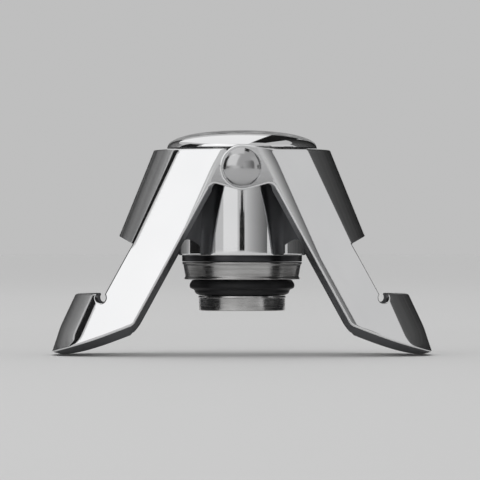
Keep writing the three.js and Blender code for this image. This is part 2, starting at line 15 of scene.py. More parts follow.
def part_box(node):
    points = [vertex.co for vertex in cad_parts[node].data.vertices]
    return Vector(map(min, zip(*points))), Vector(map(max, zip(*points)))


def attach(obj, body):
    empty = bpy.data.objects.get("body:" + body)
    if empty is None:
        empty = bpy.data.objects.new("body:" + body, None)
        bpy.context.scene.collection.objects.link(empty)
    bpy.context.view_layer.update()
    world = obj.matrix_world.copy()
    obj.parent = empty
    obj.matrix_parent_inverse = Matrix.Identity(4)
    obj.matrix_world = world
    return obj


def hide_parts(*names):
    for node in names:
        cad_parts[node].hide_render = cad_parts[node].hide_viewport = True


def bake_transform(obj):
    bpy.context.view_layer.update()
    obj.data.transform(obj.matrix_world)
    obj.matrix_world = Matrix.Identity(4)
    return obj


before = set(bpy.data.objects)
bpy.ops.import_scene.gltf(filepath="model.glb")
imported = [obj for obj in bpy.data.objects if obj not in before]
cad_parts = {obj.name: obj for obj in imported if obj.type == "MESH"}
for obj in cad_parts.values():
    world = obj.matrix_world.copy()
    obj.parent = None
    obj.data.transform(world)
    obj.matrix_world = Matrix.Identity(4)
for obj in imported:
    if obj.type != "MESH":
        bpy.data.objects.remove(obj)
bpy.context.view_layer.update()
MM = 0.001
OPEN = math.radians(28.7)
SIN_OPEN, COS_OPEN = math.sin(OPEN), math.cos(OPEN)
PIN_HEIGHT = (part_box("hinge_pin")[0].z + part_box("hinge_pin")[1].z) / 2 / MM
PIN = (0, 0, PIN_HEIGHT)

# %% [markdown]
# ## From arrays to meshes
# Each surface below is worked out as whole numpy arrays, and one helper turns arrays into a mesh.
# It takes the normals too where the formula knows them, because a mirror finish shows every
# small error of normals that are guessed from the faces.

# %% Mesh helpers
def new_object(name, data):
    """An object of a mesh, lamp or camera, put into the scene."""
    thing = bpy.data.objects.new(name, data)
    bpy.context.scene.collection.objects.link(thing)
    return thing


def make_piece(name, points_mm, faces, normals=None, shift=(0, 0, 0)):
    """A named object at the origin. points_mm is n by 3 in millimetres, faces is m by 3."""
    mesh = bpy.data.meshes.new(name)
    mesh.from_pydata(((points_mm + np.array(shift)) * MM).tolist(), [], faces.tolist())
    mesh.validate()
    mesh.shade_smooth()
    if normals is not None:
        mesh.normals_split_custom_set_from_vertices(normals.tolist())
    print(f"{name}: {len(mesh.vertices)} points, {len(mesh.polygons)} faces")
    return new_object(name, mesh)


def grid_faces(rows, columns, close_columns):
    """Quads of a rows by columns grid of points, row after row, joined round if asked."""
    i = np.arange(rows - 1)[:, None] * columns
    j = np.arange(columns if close_columns else columns - 1)[None, :]
    k = (j + 1) % columns
    return np.stack([i + j, i + k, i + columns + k, i + columns + j], -1).reshape(-1, 4)


def band(low, high):
    """Quads between two closed rings, given as rows of point numbers."""
    return np.stack([low, np.roll(low, -1), np.roll(high, -1), high], 1)


def triangles(quads):
    """Each quad cut in two: all the first halves, then all the second."""
    return np.concatenate([quads[:, [0, 1, 2]], quads[:, [0, 2, 3]]])


def unit(v):
    """Vectors made one long."""
    return v / np.maximum(np.linalg.norm(v, axis=-1, keepdims=True), 1e-12)


def bend(p0, p1, p2, t):
    """The quadratic curve from p0 to p2, which leaves and arrives along the lines to p1."""
    return (1 - t)**2 * p0 + 2 * t * (1 - t) * p1 + t**2 * p2

# %% [markdown]
# ## Turned pieces
# The dome, the bell, the rivet head, the cup and the seal are all turned on the real object. A
# profile is a list of corners with a small radius each, and spinning it gives the piece. The
# small radii matter: an edge without one has no highlight and looks drawn.

# %% Profiles and turning
LONGEST_REACH = 0.48


def soften(corners, steps=5):
    """Corners (radius, height, rounding) joined by straight runs, each corner replaced by a
    curve that starts and ends at the rounding's distance from it, or just before half a run."""
    corners = np.asarray(corners, float)
    places = corners[:, :2]
    points = [places[:1]]
    for before, here, after, rounding in zip(places, places[1:], places[2:], corners[1:, 2]):
        if rounding <= 0:
            points.append(here[None])
            continue
        ends = []
        for other in (before, after):
            run = np.linalg.norm(other - here)
            ends.append(here + (other - here) / run * min(rounding, run * LONGEST_REACH))
        points.append(bend(ends[0], here, ends[1], np.linspace(0, 1, steps + 1)[:, None]))
    return np.concatenate([*points, places[-1:]])


def refine(profile, longest):
    """The same profile with each run longer than the given length split into equal parts."""
    out = [profile[0]]
    for a, b in zip(profile[:-1], profile[1:]):
        parts = max(1, math.ceil(np.linalg.norm(b - a) / longest))
        out.extend(a + (b - a) * (k / parts) for k in range(1, parts + 1))
    return np.array(out)


def turn(name, profile, around=128, axis="Z", centre=PIN):
    """Spins a profile of (radius, height) round an axis: each point becomes the circle
    (r cos v, r sin v, h). Where the profile meets the axis it closes in a fan, and where it
    ends at its first point it closes on itself."""
    profile = np.asarray(profile, float)
    v = np.linspace(0, 2 * np.pi, around, endpoint=False)
    on_axis = profile[:, 0] < 1e-6
    looped = np.allclose(profile[0], profile[-1])
    rings, index, total = [], [], 0
    for (r, h), pole in zip(profile[:-1] if looped else profile, on_axis):
        circle = np.stack([r * np.cos(v), r * np.sin(v), np.full(around, h)], 1)
        rings.append(circle[:1] if pole else circle)
        index.append(total + np.arange(around) * (not pole))
        total += len(rings[-1])
    index += index[:1] if looped else []
    faces = []
    for low, high, starts, ends in zip(index, index[1:], on_axis, on_axis[1:]):
        halves = triangles(band(low, high))
        faces.append(halves[around:] if starts else halves[:around] if ends else halves)
    points = np.concatenate(rings)
    if axis != "Z":
        points = points[:, [0, 2, 1]] * ((1, 1, -1) if axis == "Y" else (1, -1, 1))
    return make_piece(name, points, np.concatenate(faces), shift=centre)

# %% [markdown]
# ### The dome
# A low pressed cap with a quick shoulder that runs into a nearly flat crown. A circle's arc would
# be too round at the rim, so the height follows a superellipse, and the foot has a rolled edge.
# Heights are measured from the pin's axis, here and on all pieces that share the dome's axis.

# %% Dome
DOME_RADIUS, DOME_FOOT, DOME_HEIGHT, DOME_POWER = 14.75, 3.9, 3.6, 2.2
DOME_EDGE, RIM_INNER, RIM_OUTER, HOLLOW = 0.12, 12.6, 12.9, 0.25
dome_r = DOME_RADIUS * np.cos(np.linspace(0, np.pi / 2, 56))
dome_r[-1] = 0
dome_z = DOME_FOOT + DOME_HEIGHT * (1 - (dome_r / DOME_RADIUS) ** DOME_POWER) ** (1 / DOME_POWER)
dome_under = soften([(0, DOME_FOOT + HOLLOW, 0), (RIM_INNER, DOME_FOOT + HOLLOW, 0.2),
                     (RIM_OUTER, DOME_FOOT, 0.15), (DOME_RADIUS - DOME_EDGE / 2, DOME_FOOT, 0)])
dome_over = np.stack([dome_r, dome_z], 1)[dome_z > DOME_FOOT + DOME_EDGE]
dome = turn("dome", np.vstack([refine(dome_under, 2.0), dome_over]), around=160)

# %% [markdown]
# ### The bell
# Thin spun metal, open below. Its lower edge is rolled in, which gives the bright line there.

# %% Bell
BELL_RADIUS, BELL_BORE, BELL_TOP, BELL_FOOT = 12.4, 11.95, 3.6, -17.0
BELL_SHOULDER, BELL_LID, BELL_EDGE = 1.2, 0.6, 0.4
bell_outside = soften([
    (BELL_BORE, BELL_TOP - BELL_SHOULDER, 0), (BELL_BORE, BELL_FOOT, 0.04),
    (BELL_RADIUS, BELL_FOOT, BELL_EDGE), (BELL_RADIUS, BELL_TOP, BELL_SHOULDER),
    (0, BELL_TOP, 0)], steps=8)
bell_inside = np.array([(0, BELL_TOP - BELL_LID), (BELL_BORE, BELL_TOP - BELL_SHOULDER)])
bell = turn("bell", np.vstack([bell_inside, refine(bell_outside[1:], 1.2)]), around=160)

# %% [markdown]
# ### The cross pin's head and its end cap
# Both are the same domed rivet shape: a short upright skirt, then an arc. In front the head is
# part of the pin; at the back a cap closes the other end.

# %% Rivet heads
HEAD_RADIUS, HEAD_HEIGHT, HEAD_SKIRT, HEAD_EDGE, HEAD_SEAT = 3.75, 2.1, 0.1, 0.12, 17.2
PIN_RADIUS, PIN_CHAMFER, PIN_LENGTH = 1.75, 0.2, 2 * HEAD_SEAT + 1.2
SOCKET_RADIUS, SOCKET_DEPTH = PIN_RADIUS + 0.1, 1.3
t = np.linspace(0, np.pi / 2, 30)
head_arc = np.stack([HEAD_RADIUS * np.cos(t),
                     HEAD_SKIRT + (HEAD_HEIGHT - HEAD_SKIRT) * np.sin(t)], 1)
head_arc[-1, 0] = 0
shaft = [(0, -PIN_LENGTH), (PIN_RADIUS - PIN_CHAMFER, -PIN_LENGTH),
         (PIN_RADIUS, -PIN_LENGTH + PIN_CHAMFER), (PIN_RADIUS, 0), (HEAD_RADIUS - HEAD_EDGE, 0)]
socket = [(0, SOCKET_DEPTH), (SOCKET_RADIUS, SOCKET_DEPTH), (SOCKET_RADIUS, 0),
          (HEAD_RADIUS - HEAD_EDGE, 0)]
pin = turn("cross_pin", np.vstack([shaft, head_arc]), around=96, axis="-Y",
           centre=(0, -HEAD_SEAT, PIN_HEIGHT))
end_cap = turn("end_cap", np.vstack([socket, head_arc]), around=96, axis="Y",
               centre=(0, HEAD_SEAT, PIN_HEIGHT))

# %% [markdown]
# ### What hangs below the bell
# From the top: the dark sleeve, the brushed cup with a thin lip above and below, the rubber seal
# and the turned disc with its fine raised rim. All sit on one rod and move together. Each
# profile runs outwards along the foot, then up, and back inwards.

# %% Plunger pieces
def turned_ring(name, longest, *corners):
    """A ring from the corners of its section, softened, closed and cut into short runs."""
    section_line = soften(corners)
    return turn(name, refine(np.vstack([section_line, section_line[:1]]), longest))


ROD_BORE, STACK_GAP = 2.1, 0.1
SLEEVE_TOP, SLEEVE_FOOT, CUP_FOOT, SEAL_FOOT, DISC_FOOT = -12.3, -18.2, -21.7, -24.8, -27.8
CUP_TOP, SEAL_TOP, DISC_TOP = (foot - STACK_GAP for foot in (SLEEVE_FOOT, CUP_FOOT, SEAL_FOOT))
SLEEVE_RADIUS, SLEEVE_WALL, CUP_RADIUS, CUP_BASE, DISC_RADIUS = 11.75, 1.0, 11.7, 11.3, 8.4
RECESS, RECESS_TOP, SCREW_HOLE, DISC_LAND = 3.7, -26.3, 1.1, -25.9
sleeve = turned_ring(
    "neck_sleeve", 2.5, (ROD_BORE, SLEEVE_FOOT, 0), (SLEEVE_RADIUS, SLEEVE_FOOT, 0.12),
    (SLEEVE_RADIUS, SLEEVE_TOP, 0.1), (SLEEVE_RADIUS - SLEEVE_WALL, SLEEVE_TOP, 0.1),
    (SLEEVE_RADIUS - SLEEVE_WALL, BELL_FOOT, 0.2), (ROD_BORE, BELL_FOOT, 0))
cup = turned_ring(
    "seal_cup_dressed", 1.5, (ROD_BORE, CUP_FOOT, 0), (CUP_BASE, CUP_FOOT, 0.12),
    (CUP_BASE, -21.4, 0.1), (11.12, -21.12, 0.12), (11.48, -18.95, 0.12),
    (CUP_RADIUS, -18.66, 0.1), (CUP_RADIUS, CUP_TOP, 0.12), (ROD_BORE, CUP_TOP, 0))
seal = turned_ring(
    "rubber_seal", 1.5, (ROD_BORE, SEAL_FOOT, 0), (DISC_RADIUS, SEAL_FOOT, 0.25),
    (9.2, -24.4, 0.35), (9.35, -23.75, 0.25), (10.25, -23.35, 0.3), (10.3, -22.6, 0.45),
    (9.75, SEAL_TOP, 0.25), (ROD_BORE, SEAL_TOP, 0))
disc = turned_ring(
    "turned_disc", 1.2, (RECESS, DISC_FOOT, 0.15), (DISC_RADIUS, DISC_FOOT, 0.14),
    (8.48, -25.34, 0.05), (8.6, -25.26, 0.05), (8.54, DISC_TOP, 0.08), (ROD_BORE, DISC_TOP, 0),
    (ROD_BORE, DISC_LAND, 0), (SCREW_HOLE, DISC_LAND, 0), (SCREW_HOLE, RECESS_TOP, 0),
    (RECESS, RECESS_TOP, 0.1), (RECESS, -27.6, 0))

# %% [markdown]
# ### The spring inside the bell
# The imported spring is a stiff solid, and the real one shortens when the plunger is pushed in.
# This one is wound anew as a smooth tube in the imported one's box: a circle of wire carried up a
# helix. It stays where it is wound and follows no body.

# %% Spring
WIRE, COIL, TURNS = 0.5, 5.6, 3.25
spring_low, spring_high = (corner.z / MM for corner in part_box("compression_spring"))


def wound_wire():
    """The tube's points, triangles and normals: the wire's circle stands upright in the plane
    through the axis, and each end closes in a fan round its middle."""
    turned = np.linspace(0, 2 * np.pi * TURNS, 160)[:, None]
    ring = np.linspace(0, 2 * np.pi, 12, endpoint=False)[None, :]
    rise = (spring_high - spring_low - 2 * WIRE) * turned / turned.max()
    out = np.stack([np.cos(ring) * np.cos(turned), np.cos(ring) * np.sin(turned),
                    np.sin(ring) + 0 * turned], -1)
    middle = np.stack([COIL * np.cos(turned), COIL * np.sin(turned),
                       spring_low + WIRE + rise], -1)
    points = (middle + WIRE * out).reshape(-1, 3)
    rows, sides = out.shape[:2]
    i, j = np.arange(sides), (np.arange(sides) + 1) % sides
    last = (rows - 1) * sides
    fans = [np.stack([np.full(sides, len(points)), i, j], 1),
            np.stack([np.full(sides, len(points) + 1), last + j, last + i], 1)]
    way = np.array([[0, -1.0, 0], [-np.sin(turned[-1, 0]), np.cos(turned[-1, 0]), 0]])
    tube = triangles(grid_faces(rows, sides, True))[:, [0, 2, 1]]
    return (np.concatenate([points, middle[[0, -1], 0]]), np.concatenate([tube, *fans]),
            np.concatenate([out.reshape(-1, 3), way]))


spring = make_piece("coil_spring", *wound_wire())

# %% [markdown]
# ## The winged arms
# Each arm is one thin casting with a U-shaped section: an ear, a bend, a cheek that leans in by
# 30 degrees, a crease, the curved web, and the same again behind. The cheeks stand a little
# proud of their planes, which gives them soft gradients. The skin is a surface of two
# parameters: `a` runs round the section, with 0 on the front crease, and `d` is the drop below
# the pin with the arm hanging straight down. Everything is written for that hanging arm, and the
# finished mesh is swung open.

# %% The arm's skin
TILT = math.radians(30)
SIN_TILT, COS_TILT = math.sin(TILT), math.cos(TILT)
EAR_FACE, EAR_BACK, EAR_END = 16.9, 14.95, 4.35
CHEEK_DISTANCE, BEND_RADIUS, WEB_HALF = 16.7, 5.0, 14.0
UPPER_WALL, TAB_WALL = 1.7, 2.2
CROWN, CROWN_RUN, CROWN_FADE = 0.2, 2.0, 3.0
CREASE_EASE = 0.45
WAIST, WAIST_REACH, SILL, SILL_REACH = 23.2, 11.6, 34.85, 12.7
HEEL, TIP = np.array([4.13, 36.85]), np.array([15.5, 49.3])


def eased(drops, values, softness=1.3):
    """Straight runs between stations, averaged over a short window so that no run meets the next
    at a kink: the mean of seven samples spread over the softness."""
    spread = np.linspace(-1, 1, 7) * softness
    weights = np.cos(spread / softness * np.pi / 2.4) ** 2
    return lambda d: sum(w * np.interp(np.asarray(d) + s, drops, values)
                         for s, w in zip(spread, weights)) / weights.sum()


stations = [-9, 3, WAIST, SILL, 44.3, 46.6, TIP[1], 60]
corner_at = eased(stations, [12.7, 12.7, WAIST_REACH, SILL_REACH, 11.9, 12.7, 14.7, 14.7])
crest_at = eased(stations, [17.2, 17.2, 14.85, 17.0, 16.4, 15.95, TIP[0], TIP[0]])
flare_at = eased([-9, 3, WAIST, 60], [0.8, 0.8, 0, 0])
wall_at = eased([-9, 33.6, 35.0, 60], [UPPER_WALL, UPPER_WALL, TAB_WALL, TAB_WALL], 0.5)


def section(d, inner):
    """The section's places at a drop: the cheek's distance, the ear's, the bend's start and end,
    and the web's circle with the corner where the cheek meets it. inner=1 is the inside."""
    d = np.asarray(d, float)
    wall = wall_at(d) * inner
    distance = CHEEK_DISTANCE + flare_at(d) - wall
    ear = EAR_BACK if inner else EAR_FACE
    bend_u = (distance - ear * COS_TILT) / SIN_TILT
    bend_r = BEND_RADIUS - wall
    tangent = bend_r * math.tan(TILT / 2)
    corner, crest = corner_at(d), crest_at(d)
    sag = crest - corner
    outer_y = (CHEEK_DISTANCE + flare_at(d) - corner * SIN_TILT) / COS_TILT
    web_r = (outer_y**2 + sag**2) / (2 * sag)
    centre = crest - web_r
    r = web_r - wall
    offset = distance - centre * SIN_TILT
    along = np.sqrt(r**2 - offset**2)
    corner_x = centre + offset * SIN_TILT + along * COS_TILT
    corner_y = offset * COS_TILT - along * SIN_TILT
    return dict(distance=distance, ear=ear, bend_r=bend_r, start=bend_u - tangent,
                end=bend_u + tangent * COS_TILT, centre=centre, r=r, corner_x=corner_x,
                half=np.arctan2(corner_y, corner_x - centre))


def cheek_depth(u, s):
    """How far from the middle plane the ear, bend and cheek lie at a reach u: flat, then a circle
    tangent to both, then the leaning plane."""
    plane = (s["distance"] - u * SIN_TILT) / COS_TILT
    into_bend = np.clip(u - s["start"], 0, None)
    circle = s["ear"] - s["bend_r"] + np.sqrt(np.clip(s["bend_r"]**2 - into_bend**2, 0, None))
    return np.where(u < s["start"], s["ear"], np.where(u > s["end"], plane, circle))


def crown(u, s, inner):
    """How far the outer cheek stands proud of its plane, as polishing leaves it: nothing at the
    crease and at the bend, rising from the crease as one minus a decaying exponential."""
    share = np.clip((u - s["end"]) / CROWN_FADE, 0, 1)
    rise = 1 - np.exp((u - s["corner_x"]) / CROWN_RUN)
    return (1 - inner) * CROWN * share**2 * (3 - 2 * share) * rise


def raw_skin(a, d, inner):
    """The point of the skin at (a, d) before its crease is eased, as x, y, z."""
    s = section(d, inner)
    front, rear = a < 0, a > 2 * WEB_HALF
    u = s["corner_x"] + np.minimum(np.where(rear, 2 * WEB_HALF - a, a), 0)
    y_cheek = cheek_depth(u, s) + crown(u, s, inner)
    angle = s["half"] * (1 - np.clip(a, 0, 2 * WEB_HALF) / WEB_HALF)
    x = np.where(front | rear, u, s["centre"] + s["r"] * np.cos(angle))
    y = np.where(front, -y_cheek, np.where(rear, y_cheek, -s["r"] * np.sin(angle)))
    return np.stack([x, y, -np.asarray(d) + 0 * x], -1)


def skin(a, d, inner):
    """The skin with its two creases eased: close to one, the point comes from the quadratic
    curve through the skin on both sides of it."""
    a, d = np.broadcast_arrays(np.asarray(a, float), np.asarray(d, float))
    point = raw_skin(a, d, inner)
    for crease in (0.0, 2 * WEB_HALF):
        t = np.clip((a - crease + CREASE_EASE) / (2 * CREASE_EASE), 0, 1)[..., None]
        sides = [raw_skin(crease + k * CREASE_EASE + 0 * a, d, inner) for k in (-1, 0, 1)]
        point = np.where((np.abs(a - crease) < CREASE_EASE)[..., None], bend(*sides, t), point)
    return point


def skin_normal(a, d, inner, e=0.04):
    """The unit normal of the skin from differences along a and d, outwards on both faces."""
    along_a = skin(a + e, d, inner) - skin(a - e, d, inner)
    along_d = skin(a, d + e, inner) - skin(a, d - e, inner)
    return unit(np.cross(along_d, along_a)) * (-1 if inner else 1)


print("skin at drop 10:", np.round(skin(np.array([-8.0, 0.0, 14.0, 28.0]), 10.0, 0), 2).tolist())

# %% [markdown]
# ### Where the skin ends
# The arm's outline is drawn in side view, as reach and drop, and each of its points is carried on
# to the skin. The outer face and the inner face have an outline each, because the cut edge
# between them runs its own way: level along the top, square to the cheek along the inner edge,
# and bevelled back along the foot, less towards the tip.

# %% Outline helpers
TOP_EDGE, TOP_START = 3.6, 6.7
ARMPIT_SLOPE, ARMPIT_ROUND, HEEL_ROUND = math.radians(13.3), 1.7, 1.6
EDGE_LEAN = (0.25, 1.25)
BEVEL, FOOT_BULGE, FOOT_SLOPE = np.array([-1.25, 1.55]), 0.4, 1.13


def fillet(p0, p1, p2, radius, steps=7):
    """The corner p1 of a path rounded with a circle tangent to both runs."""
    u, v = unit(np.subtract(p0, p1)), unit(np.subtract(p2, p1))
    half = math.acos(np.clip(u @ v, -1, 1)) / 2
    centre = p1 + unit(u + v) * radius / math.sin(half)
    a, b = p1 + u * radius / math.tan(half) - centre, p1 + v * radius / math.tan(half) - centre
    turn_by = math.atan2(a[0] * b[1] - a[1] * b[0], a @ b)
    angles = math.atan2(a[1], a[0]) + turn_by * np.linspace(0, 1, steps + 1)
    return centre + radius * np.stack([np.cos(angles), np.sin(angles)], 1)


def on_skin(points, inner, rear):
    """Side-view points (reach, drop) as skin parameters (a, d). Up to the crease, a is the reach
    less the crease's; beyond it, a comes from the angle on the web's circle."""
    u, d = points.T
    s = section(d, inner)
    angle = np.arccos(np.clip((u - s["centre"]) / s["r"], -1, 1))
    a = np.where(u <= s["corner_x"], u - s["corner_x"], WEB_HALF * (1 - angle / s["half"]))
    return np.stack([2 * WEB_HALF - a if rear else a, d], 1)


def settle(a, inner, rule, start=5.0, rounds=14):
    """The drops at which the skin meets a line of the side view. rule gives the drop for a
    reach, and a few rounds of skin, reach, drop settle on the crossing."""
    d = np.full(len(a), start)
    for _ in range(rounds):
        d = 0.5 * d + 0.5 * rule(skin(a, d, inner)[:, 0])
    return np.stack([a, d], 1)


def top_rule(x):
    """The drop of the top edge, which is level with the arm open."""
    return (x * SIN_OPEN - TOP_EDGE) / COS_OPEN


def foot_line(share, inner):
    """The foot's edge in side view from heel (0) to tip (1). On the outer face it is the crisp
    edge; on the inner face it has slid down and inwards by the bevel, which fades at the tip."""
    share = np.asarray(share, float)[..., None]
    line = HEEL + share * (TIP - HEEL) + [0, FOOT_BULGE] * np.sin(np.pi * share)
    return line + BEVEL * np.sqrt(np.clip(1 - share**3, 0, 1)) * inner


def foot_rule(inner):
    """The drop of the foot's edge for a reach."""
    line = foot_line(np.linspace(0, 1, 200), inner)
    return lambda x: np.interp(x, *line.T) + np.clip(x - TIP[0], 0, None) * FOOT_SLOPE


def face_half(inner, rear):
    """One ear and cheek's outline from the top edge round the ear's end, the armpit, the inner
    edge and the heel to where the foot meets the crease, and the half of the top edge."""
    corner = TOP_START * np.array([COS_OPEN, SIN_OPEN]) + TOP_EDGE * np.array([SIN_OPEN, -COS_OPEN])
    if rear:
        start_angle = math.pi - math.asin(TOP_EDGE / EAR_END) - OPEN
    else:
        start_angle = math.atan2(-corner[1], corner[0]) + math.acos(EAR_END / math.hypot(*corner))
    angles = np.linspace(start_angle, math.radians(270) - ARMPIT_SLOPE, 44)
    ear = EAR_END * np.stack([np.cos(angles), -np.sin(angles)], 1)
    armpit = (HEEL[0], ear[-1, 1] + (HEEL[0] - ear[-1, 0]) * math.tan(ARMPIT_SLOPE))
    lean = np.array([EDGE_LEAN[inner], 0])
    armpit_arc = fillet(ear[-1], armpit, HEEL, ARMPIT_ROUND)
    armpit_arc = armpit_arc - lean * np.linspace(0, 1, len(armpit_arc))[:, None]
    heel_arc = fillet(armpit, HEEL, foot_line(0.2, 0), HEEL_ROUND)
    share = np.linspace(0, 1, len(heel_arc))[:, None]
    heel_arc = heel_arc - lean * (1 - share) + BEVEL * inner * share
    share = np.linspace(0, 1, 62)[1:-1, None]
    edge = armpit_arc[-1] * (1 - share) + heel_arc[0] * share
    side = on_skin(np.concatenate([ear, armpit_arc, edge, heel_arc]), inner, rear)
    a_foot = np.linspace(side[-1, 0], 2 * WEB_HALF if rear else 0.0, 26)[1:]
    half = np.concatenate([side, settle(a_foot, inner, foot_rule(inner))])
    if rear:
        return half, settle(np.linspace(2 * WEB_HALF, half[0, 0], 34)[:-1], inner, top_rule)
    point = on_skin(corner[None], inner, rear)
    line = point + (half[0] - point) * np.linspace(0, 1, 6)[:-1, None]
    top = settle(np.linspace(0.0, point[0, 0], 16)[:-1], inner, top_rule)
    return half, np.concatenate([top, line])


def outer_loop(inner):
    """The whole outline as skin parameters, the front half first, then the web's foot, the rear
    half and the top edge. Both faces give their points in step, so that a rim can join them."""
    (front, front_top), (back, back_top) = (face_half(inner, rear) for rear in (False, True))
    web = np.linspace(0, 2 * WEB_HALF, 50)[1:-1]
    return np.concatenate([front, settle(web, inner, foot_rule(inner)), back[::-1],
                           back_top[::-1], settle(web[::-1], inner, top_rule), front_top])


loops = [outer_loop(inner) for inner in (0, 1)]
print("outline points:", [len(loop) for loop in loops])

# %% [markdown]
# ### The window and its two notches
# The web is open from its waist down to the tab, so that the bottle's ring can stand through it.
# A small round notch at each lower corner ends the slot, where the tab's top edge would
# otherwise meet the strip in a sharp inner corner.

# %% Window outline
NOTCH, NOTCH_RADIUS, NOTCH_START, NOTCH_END = np.array([12.0, 35.25]), 1.05, (-0.45, -0.95), 1.03
WINDOW_DRAFT = 0.85


def sill_rule(x):
    """The drop of the tab's top edge, level when the arm is open."""
    return SILL + (x - SILL_REACH) * math.tan(OPEN)


def window_half(inner, rear):
    """From the waist's edge down the strip's outer edge, round the notch's low side, to the
    sill."""
    back = -WINDOW_DRAFT * inner
    strip_drops = np.linspace(WAIST, NOTCH[1] + NOTCH_START[1], 34)[:-1]
    strip = np.stack([np.full(33, WAIST_REACH + back), strip_drops], 1)
    start = math.atan2(NOTCH_START[1], NOTCH_START[0]) + 2 * math.pi
    end = math.atan2(sill_rule(NOTCH[0] + 1.0) - NOTCH[1] + 0.05, NOTCH_END)
    angles = np.linspace(start, end, 26)
    notch = NOTCH + NOTCH_RADIUS * np.stack([np.cos(angles), np.sin(angles)], 1)
    notch[:, 0] += back * np.linspace(1, 0.6, 26)
    return on_skin(np.concatenate([strip, notch]), inner, rear)


def window_loop(inner):
    """The window's edge, opposite in sense to the outline, as skin parameters."""
    front, rear = window_half(inner, False), window_half(inner, True)
    sill = settle(np.linspace(front[-1, 0], rear[-1, 0], 44)[1:-1], inner, sill_rule)
    waist = np.linspace(rear[0], front[0], 44)[1:-1]
    return np.concatenate([front, sill, rear[::-1], waist])


windows = [window_loop(inner) for inner in (0, 1)]
print("window points:", [len(loop) for loop in windows])

# %% [markdown]
# ### Filling the outline with faces
# The inside of the outline is filled in the flat (a, d) plane, where a constrained Delaunay
# triangulation respects the edges and the window, and is then lifted on to the skin. Grid points
# inside keep the triangles small and even.

# %% Face helpers
CLEAR_OF_EDGE = 0.28


def inset(loop, reach):
    """The loop moved sideways by the reach, to its left, or to its right where the reach is
    negative: each point goes along the mean of its two runs' normals, further at a corner."""
    runs = unit(loop - np.roll(loop, 1, 0)), unit(np.roll(loop, -1, 0) - loop)
    n1, n2 = (np.stack([-run[:, 1], run[:, 0]], 1) for run in runs)
    n = unit(n1 + n2)
    stretch = 1 / np.clip((n * n1).sum(1, keepdims=True), 0.6, 1)
    return loop + n * stretch * reach


def sense(loop):
    """One for a loop that runs one way round, minus one for the other: its area's sign."""
    x, y = loop.T
    return np.sign(np.sum(x * np.roll(y, -1) - np.roll(x, -1) * y))


def inside(points, loop):
    """Which points lie inside a loop, by counting crossings of a ray, as one array."""
    x, y = points[:, 0:1], points[:, 1:2]
    (x1, y1), (x2, y2) = loop.T[:, None], np.roll(loop, -1, 0).T[:, None]
    spans = (y1 > y) != (y2 > y)
    cross = x1 + (y - y1) * (x2 - x1) / np.where(y2 == y1, 1e-12, y2 - y1)
    return (np.sum(spans & (x < cross), axis=1) % 2) == 1


def within(points, outline, holes):
    """Which points lie inside the outline and outside every hole."""
    return inside(points, outline) & ~np.any([inside(points, hole) for hole in holes], axis=0)


def pin_circle(radius, inner, rear, count):
    """A circle round the pin as skin parameters. Round the pin the skin is the flat ear."""
    angles = np.linspace(0, 2 * np.pi, count, endpoint=False)
    return on_skin(radius * np.stack([np.cos(angles), -np.sin(angles)], 1), inner, rear)


def fill(outline, *holes, step_a=0.55, step_d=0.8):
    """Triangles over a region of the (a, d) plane. Returns the points, the outline's first, then
    the holes' and the grid's, and the triangles between them."""
    loop_points = np.concatenate([outline, *holes])
    (a0, d0), (a1, d1) = outline.min(0), outline.max(0)
    grid = np.meshgrid(np.arange(a0, a1, step_a), np.arange(d0, d1, step_d))
    cloud = np.stack(grid, -1).reshape(-1, 2)
    cloud = cloud[within(cloud, outline, holes)]
    gaps = np.linalg.norm(cloud[:, None] - loop_points[None], axis=-1).min(1)
    points = np.concatenate([loop_points, cloud[gaps > CLEAR_OF_EDGE]])
    edges, start = [], 0
    for loop in (outline, *holes):
        k = np.arange(len(loop))
        edges.append(start + np.stack([k, (k + 1) % len(loop)], 1))
        start += len(loop)
    result = delaunay_2d_cdt(points.tolist(), np.concatenate(edges).tolist(), [], 0, 1e-7)
    out, tris = np.array([tuple(v) for v in result[0]]), np.array(result[2], np.int64)
    origin = np.array([o[0] if o else -1 for o in result[3]])
    assert len(out) == len(points) and (origin >= 0).all(), "the outline crosses itself"
    return points, origin[tris[within(out[tris].mean(1), outline, holes)]]

# %% [markdown]
# ### Lifting, laps and rims
# The ears are half-lapped: a circle round the pin steps the front ear's inner side, and the rear
# ear's outer side, back by the fellow arm's ear. The outer and inner faces are joined by a rim: a
# strip that leaves the outer face tangentially, turns over a small radius, runs across the wall
# and turns into the inner face. A pressed or cast edge is never sharp, and this radius is what
# catches the light in the photograph.

# %% The arm's mesh
ROUND, RIM_STEPS, RIM_SHARE = 0.32, 6, 0.42
LAP_RADIUS, LAP, LAP_STEP = 4.45, 0.825, 0.08
PIN_HOLE, PIN_SIDES = 1.95, 40


def placed(points, inner):
    """Skin parameters to places, with the ears' half laps: inside the lap's circle the front
    ear's back and the rear ear's front step to the lap's own depth."""
    p = skin(points[:, 0], points[:, 1], inner)
    t = np.clip((LAP_RADIUS + LAP_STEP / 2 - np.hypot(p[:, 0], p[:, 2])) / LAP_STEP, 0, 1)
    depth = LAP - EAR_FACE if inner else EAR_BACK + LAP
    lapped = np.sign(p[:, 1]) == np.sign(depth)
    p[:, 1] = np.where(lapped, p[:, 1] * (1 - t) + depth * t, p[:, 1])
    return p


def rim(edges, insets):
    """The rim's rows of points from the outer face's inset edge to the inner face's."""
    p_out, p_in = placed(edges[0], 0), placed(edges[1], 1)
    across = p_in - p_out
    step = np.minimum(ROUND, RIM_SHARE * np.linalg.norm(across, axis=1, keepdims=True))
    b_out, b_in = p_out + unit(across) * step, p_in - unit(across) * step
    t = np.linspace(0, 1, RIM_STEPS + 1)[:, None, None]
    return np.concatenate([bend(placed(insets[0], 0), p_out, b_out, t),
                           bend(b_in, p_in, placed(insets[1], 1), t)])


